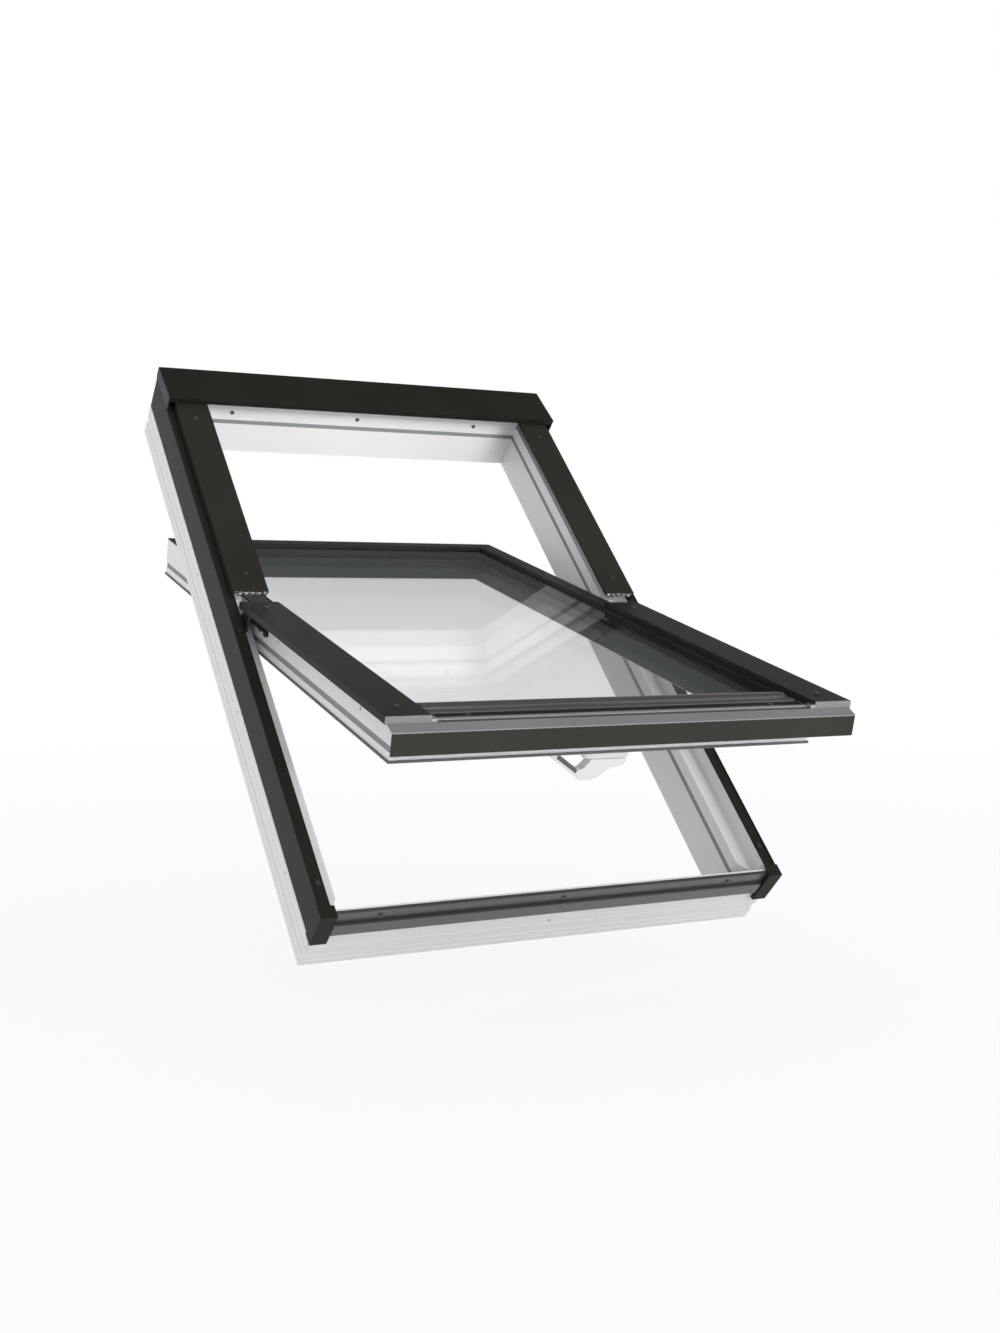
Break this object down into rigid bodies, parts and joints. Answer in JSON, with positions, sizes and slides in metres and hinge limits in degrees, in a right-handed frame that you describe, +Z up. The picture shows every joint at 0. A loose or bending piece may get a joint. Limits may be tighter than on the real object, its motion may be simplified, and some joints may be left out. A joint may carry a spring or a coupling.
{
  "type": "centre-pivot roof window",
  "caption": "Centre-pivot roof window: white plastic frame with dark metal cladding and a double-glazed sash that swings about mid height, with a bow handle.",
  "frame": {"origin": "middle of the sill's room face, with the frame tilted to a 45 degree roof", "axes": "+X across the roof to the right seen from outside, +Y level into the building, +Z up"},
  "size_m": [0.783, 1.1633, 0.9419],
  "materials": {
    "white_plastic": "satin white window plastic",
    "handle_white": "smooth white",
    "dark_cladding": "fine matt powder coat",
    "pale_cladding": "satin grey coat",
    "black_plastic": "moulded black",
    "grey_seal": "grey sealing strip",
    "black_seal": "black sealing strip",
    "bright_steel": "zinc bright",
    "dark_steel": "blackened screw",
    "slate_plastic": "slate grey",
    "window_glass": "clear, slightly tinted"
  },
  "bodies": {
    "frame": {"frame_head": "white_plastic", "frame_sill": "white_plastic", "frame_jamb_left": "white_plastic", "frame_jamb_right": "white_plastic", "frame_seal": "grey_seal", "sill_seal": "black_seal", "side_channel_left": "dark_cladding", "side_channel_right": "dark_cladding", "upper_cover_left": "dark_cladding", "upper_cover_right": "dark_cladding", "upper_end_left": "bright_steel", "upper_end_right": "bright_steel", "hood": "dark_cladding", "hood_cap_left": "black_plastic", "hood_cap_right": "black_plastic", "sill_cover": "dark_cladding", "sill_strip": "dark_cladding", "sill_corner_left": "dark_cladding", "sill_corner_right": "dark_cladding", "hinge_bracket_left": "bright_steel", "hinge_bracket_right": "bright_steel", "striker_plate": "bright_steel", "frame_screws": "dark_steel"},
    "sash": {"sash_top_rail": "white_plastic", "sash_bottom_rail": "white_plastic", "sash_stile_left": "white_plastic", "sash_stile_right": "white_plastic", "outer_pane": "window_glass", "inner_pane": "window_glass", "glass_spacer": "black_seal", "outer_bead": "black_seal", "inner_bead": "black_seal", "sash_cover_left": "dark_cladding", "sash_cover_right": "dark_cladding", "cover_end_left": "pale_cladding", "cover_end_right": "pale_cladding", "corner_clips": "bright_steel", "sash_trim_left": "dark_cladding", "sash_trim_right": "dark_cladding", "sash_trim_top": "dark_cladding", "bottom_strip": "dark_cladding", "front_bevel": "pale_cladding", "front_fascia": "dark_cladding", "reveal_lining": "slate_plastic", "sash_seal": "black_seal", "sash_band": "grey_seal", "hinge_plate_left": "bright_steel", "hinge_plate_right": "bright_steel", "sash_screws": "dark_steel", "handle_base": "handle_white"},
    "handle": {"handle_lever": "handle_white"},
    "latch": {"lock_bolt": "bright_steel"}
  },
  "joints": [
    {"name": "sash_pivot", "type": "hinge", "parent": "frame", "child": "sash", "pos_m": [0, 0.30406, 0.49356], "axis": [-1, 0, 0], "range_deg": [-31.5, 98.5]},
    {"name": "handle_turn", "type": "hinge", "parent": "sash", "child": "handle", "pos_m": [0.042, -0.18426, 0.30434], "axis": [0, 0.2334, -0.9724], "range_deg": [0, 90]},
    {"name": "bolt_slide", "type": "slide", "parent": "sash", "child": "latch", "axis": [0, -0.9724, -0.2334], "range_m": [0, 0.014]}
  ],
  "couplings": [
    {"joint": "bolt_slide", "follows": "handle_turn", "m_per_rad": 0.0089127}
  ]
}
